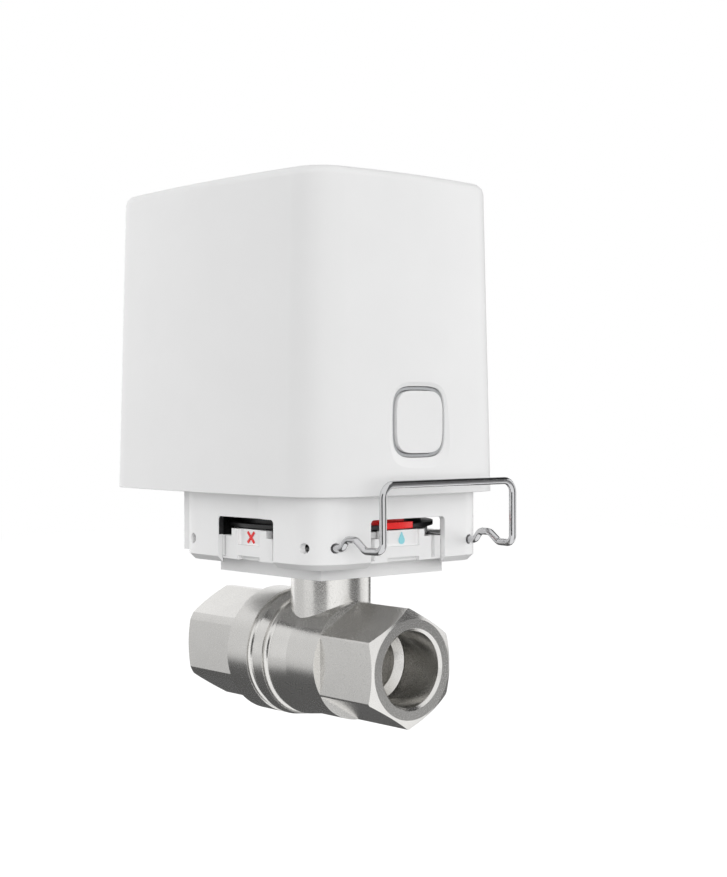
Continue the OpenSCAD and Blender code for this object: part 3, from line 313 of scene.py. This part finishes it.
def smoothing(sharp_angle, fine_corners):
    """Geometry nodes that shade a mesh smooth except along edges sharper than an angle in degrees.
    Between the fine corners, if there are any, the shallow edges of the dish stay sharp too."""
    tree = bpy.data.node_groups.new("smooth_by_angle", "GeometryNodeTree")
    tree.interface.new_socket("Geometry", in_out="INPUT", socket_type="NodeSocketGeometry")
    tree.interface.new_socket("Geometry", in_out="OUTPUT", socket_type="NodeSocketGeometry")
    start = tree.nodes.new("NodeGroupInput")
    weld = tree.nodes.new("GeometryNodeMergeByDistance")
    weld.inputs["Distance"].default_value = WELD_DISTANCE
    plain = tree.nodes.new("GeometryNodeRemoveAttribute")
    plain.inputs["Name"].default_value = "custom_normal"
    smooth = tree.nodes.new("GeometryNodeSetShadeSmooth")
    edges = sharper_than(tree, sharp_angle)
    if fine_corners:
        shallow = sharper_than(tree, DISH_SHARP_ANGLE)
        dish = combined(tree, "AND", shallow, between_corners(tree, *fine_corners))
        edges = combined(tree, "OR", edges, dish)
    sharp = tree.nodes.new("GeometryNodeSetShadeSmooth")
    sharp.domain = "EDGE"
    sharp.inputs["Shade Smooth"].default_value = False
    end = tree.nodes.new("NodeGroupOutput")
    tree.links.new(start.outputs[0], weld.inputs["Geometry"])
    tree.links.new(weld.outputs[0], plain.inputs["Geometry"])
    tree.links.new(plain.outputs[0], smooth.inputs["Geometry"])
    tree.links.new(smooth.outputs[0], sharp.inputs["Geometry"])
    tree.links.new(edges, sharp.inputs["Selection"])
    tree.links.new(sharp.outputs[0], end.inputs[0])
    return tree


def smooth_nodes():
    """Shades the faceted nodes smooth, and keeps the rims of the shallow dish round the button."""
    low, high = (Vector(corner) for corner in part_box("power_button"))
    reach = Vector((DISH_REACH, DISH_REACH, DISH_REACH))
    dish_corners = {"casing": (low - reach, high + reach)}
    for name, sharp_angle in SHARP_ANGLES.items():
        shade = nodes[name].modifiers.new("smooth", "NODES")
        shade.node_group = smoothing(sharp_angle, dish_corners.get(name))
        weigh = nodes[name].modifiers.new("weighted", "WEIGHTED_NORMAL")
        weigh.keep_sharp = True


class Look:
    """A principled material with helpers for the textures that feed it."""

    def __init__(self, name, colour, roughness, metallic=0.0):
        self.material = bpy.data.materials.new(name)
        self.material.use_nodes = True
        self.tree = self.material.node_tree
        self.shader = self.tree.nodes["Principled BSDF"]
        self.shader.inputs["Base Color"].default_value = (*colour, 1)
        self.shader.inputs["Roughness"].default_value = roughness
        self.shader.inputs["Metallic"].default_value = metallic
        self.place = self.tree.nodes.new("ShaderNodeTexCoord").outputs["Object"]
        self.normal = None
        self.colour = None

    def node(self, kind):
        return self.tree.nodes.new(kind)

    def link(self, start, end):
        self.tree.links.new(start, end)

    def soften(self, radius_mm):
        """Rounds the look of edges, as a mould or a tumbler leaves them. Comes before any relief."""
        bevel = self.node("ShaderNodeBevel")
        bevel.samples = BEVEL_SAMPLES
        bevel.inputs["Radius"].default_value = radius_mm / 1000
        self.normal = bevel.outputs[0]
        self.link(self.normal, self.shader.inputs["Normal"])

    def noise(self, grain_mm, detail, stretch=(1, 1, 1)):
        """Noise whose features are about grain_mm across, drawn out along the axes with a small stretch."""
        mapping = self.node("ShaderNodeMapping")
        mapping.inputs["Scale"].default_value = stretch
        self.link(self.place, mapping.inputs["Vector"])
        texture = self.node("ShaderNodeTexNoise")
        texture.inputs["Scale"].default_value = 1000 / grain_mm
        texture.inputs["Detail"].default_value = detail
        self.link(mapping.outputs[0], texture.inputs["Vector"])
        return texture.outputs["Fac"]

    def mix(self, value, second):
        """A mix towards a second colour, whose first colour is still to be set."""
        mix = self.node("ShaderNodeMix")
        mix.data_type = "RGBA"
        mix.inputs["B"].default_value = (*second, 1)
        self.link(value, mix.inputs["Factor"])
        self.colour = mix.outputs["Result"]
        self.link(self.colour, self.shader.inputs["Base Color"])
        return mix

    def colours(self, value, first, second):
        """Runs from one colour to another with a texture's value."""
        self.mix(value, second).inputs["A"].default_value = (*first, 1)

    def cover(self, value, colour):
        """Lays another colour over the one already there, where a value is 1."""
        under = self.colour
        self.link(under, self.mix(value, colour).inputs["A"])

    def math(self, operation, first, second=None):
        """A math node on a value and, if it needs one, a second value or a number."""
        step = self.node("ShaderNodeMath")
        step.operation = operation
        self.link(first, step.inputs[0])
        if isinstance(second, (int, float)):
            step.inputs[1].default_value = second
        elif second:
            self.link(second, step.inputs[1])
        return step.outputs[0]

    def axes(self):
        """The three coordinates of a point on the part, in metres."""
        split = self.node("ShaderNodeSeparateXYZ")
        self.link(self.place, split.inputs[0])
        return [split.outputs[axis] for axis in "XYZ"]

    def within(self, half_mm, corner_mm, top_mm):
        """A value that is 1 below a height inside an upright shaft about the stem.
        The shaft is a square with round corners."""
        x, y, z = self.axes()
        past = self.node("ShaderNodeCombineXYZ")
        for name, value in (("X", x), ("Y", y)):
            size = self.math("ABSOLUTE", value)
            beyond = self.math("SUBTRACT", size, (half_mm - corner_mm) / 1000)
            self.link(self.math("MAXIMUM", beyond, 0.0), past.inputs[name])
        reach = self.node("ShaderNodeVectorMath")
        reach.operation = "LENGTH"
        self.link(past.outputs[0], reach.inputs[0])
        inside = self.math("LESS_THAN", reach.outputs["Value"], corner_mm / 1000)
        below = self.math("LESS_THAN", z, top_mm / 1000)
        return self.math("MULTIPLY", inside, below)

    def between(self, low_mm, high_mm):
        """A value that is 1 where the sizes of x and y, and z itself, lie between two corners."""
        x, y, z = self.axes()
        values = (self.math("ABSOLUTE", x), self.math("ABSOLUTE", y), z)
        result = None
        for value, low, high in zip(values, low_mm, high_mm):
            above = self.math("GREATER_THAN", value, low / 1000)
            step = self.math("MULTIPLY", above, self.math("LESS_THAN", value, high / 1000))
            result = self.math("MULTIPLY", result, step) if result else step
        return result

    def roughness(self, value, low, high):
        """Roughness that runs from low to high over the middle of a texture's values."""
        mapped = self.node("ShaderNodeMapRange")
        mapped.inputs["From Min"].default_value = 0.3
        mapped.inputs["From Max"].default_value = 0.7
        mapped.inputs["To Min"].default_value = low
        mapped.inputs["To Max"].default_value = high
        self.link(value, mapped.inputs["Value"])
        self.link(mapped.outputs["Result"], self.shader.inputs["Roughness"])

    def relief(self, value, depth_mm):
        """Adds bumps of a depth in millimetres on top of those already there."""
        bump = self.node("ShaderNodeBump")
        bump.inputs["Strength"].default_value = 1
        bump.inputs["Distance"].default_value = depth_mm / 1000
        self.link(value, bump.inputs["Height"])
        if self.normal:
            self.link(self.normal, bump.inputs["Normal"])
        self.normal = bump.outputs["Normal"]
        self.link(self.normal, self.shader.inputs["Normal"])


def scaled(colour, factor):
    return tuple(min(1.0, c * factor) for c in colour)


def moulded(name, colour, roughness, grain_mm=0.35, depth_mm=0.004, spread=0.02):
    """Moulded plastic: a fine spark-eroded texture, faint cloudiness and uneven gloss."""
    look = Look(name, colour, roughness)
    look.soften(MOULD_EDGE_MM)
    cloud = look.noise(CLOUD_MM, 2)
    look.colours(cloud, scaled(colour, 1 - spread), scaled(colour, 1 + spread))
    grain = look.noise(grain_mm, 4)
    look.roughness(grain, roughness - 0.05, roughness + 0.06)
    look.relief(grain, depth_mm)
    return look


def plated(name, colour, roughness, grain_mm=0.25, depth_mm=0.0002, spread=0.05):
    """Plated or bare metal: a blasted grain with slight blotches and faint lines from the lathe."""
    look = Look(name, colour, roughness, 1.0)
    look.soften(PLATED_EDGE_MM)
    blotch = look.noise(BLOTCH_MM, 4)
    look.colours(blotch, scaled(colour, 1 - spread), scaled(colour, 1 + spread))
    grain = look.noise(grain_mm, 5)
    look.roughness(grain, roughness - 0.06, roughness + 0.08)
    look.relief(look.noise(LATHE_LINE_MM, 2, LATHE_STRETCH), depth_mm / 2)
    look.relief(grain, depth_mm)
    return look


def drawn(name, colour, roughness, axis):
    """Drawn wire or turned metal, with fine lines along an axis."""
    look = Look(name, colour, roughness, 1.0)
    stretch = tuple(DRAWN_STRETCH if i == axis else 1 for i in range(3))
    lines = look.noise(DRAWN_LINE_MM, 3, stretch)
    look.colours(lines, scaled(colour, 0.92), scaled(colour, 1.06))
    look.roughness(lines, roughness - 0.04, roughness + 0.08)
    look.relief(lines, 0.002)
    return look


def rubbery(name, colour):
    """Dull rubber with a mottled grain."""
    look = Look(name, colour, 0.7)
    grain = look.noise(RUBBER_GRAIN_MM, 4)
    look.colours(grain, scaled(colour, 0.7), scaled(colour, 1.4))
    look.roughness(grain, 0.6, 0.8)
    look.relief(grain, 0.006)
    return look


def collar_plastic_with_painted_shade(name, colour):
    """The lower housing's plastic: pale outside, with black painted shade round the drum and on the side
    windows' edges.
    """
    look = moulded(name, colour, 0.4)
    # Painted shade: the shaft inside the collar, round the drum, is painted black
    look.cover(look.within(PAINTED_SHADE_SHAFT_MM, PAINTED_SHADE_CORNER_MM, PAINTED_SHADE_TOP_MM), BLACK)
    # Painted shade: the edges of the side windows are painted black
    look.cover(look.between(PAINTED_SHADE_EDGES_LOW_MM, PAINTED_SHADE_EDGES_HIGH_MM), BLACK)
    return look


def make_looks():
    """One look for each material slot of the record."""
    return {
        "nickel": plated("nickel", NICKEL, 0.23),
        "brass": drawn("turned_brass", BRASS, 0.3, 2),
        "steel": plated("zinc_steel", STEEL, 0.35),
        "staple_steel": drawn("spring_wire", STEEL, 0.11, 0),
        "rubber": rubbery("seal_rubber", BLACK),
        "ptfe": moulded("seat_white", SEAT_WHITE, 0.4),
        "casing_white": moulded("casing_white", WHITE, 0.45),
        "part_white": moulded("part_white", PART_WHITE_WITH_PAINTED_LIGHT, 0.4),
        "black_plastic": moulded("black_plastic", BLACK, 0.35, spread=0.2),
        "signal_red": moulded("signal_red", RED, 0.22, spread=0.1),
        "drop_blue": moulded("drop_blue", BLUE, 0.4, spread=0.08),
        "gear_plastic": moulded("gear_plastic", GEAR_CREAM, 0.4),
        "board_green": moulded("board_green", GREEN, 0.3, 0.5, 0.006, 0.3),
        "light_guide": moulded("light_guide", GUIDE_GREY, 0.3, spread=0.05),
        "cell_sleeve": moulded("cell_sleeve", SLEEVE_GREY, 0.3, spread=0.15),
    }


def dress(node, look):
    mesh = nodes[node].data
    mesh.materials.clear()
    mesh.materials.append(look.material)


def dress_nodes():
    """Gives every node the look of its slot, and the lower housing a look of its own with painted shade."""
    looks = make_looks()
    for part in frame["record"]["subparts"]:
        dress(part["node"], looks[part["material_slot"]])
    # The lower housing's own look carries painted shade inside the collar and on its side windows' edges
    dress("lower_housing", collar_plastic_with_painted_shade("collar_white_painted_shade", PART_WHITE_WITH_PAINTED_LIGHT))


scene.view_settings.view_transform = "Standard"
add_camera()
set_world()
add_floor()
for lamp_name, (lamp_place, lamp_power) in LAMPS.items():
    add_lamp(lamp_name, lamp_place, lamp_power)
add_flags()
smooth_nodes()
dress_nodes()
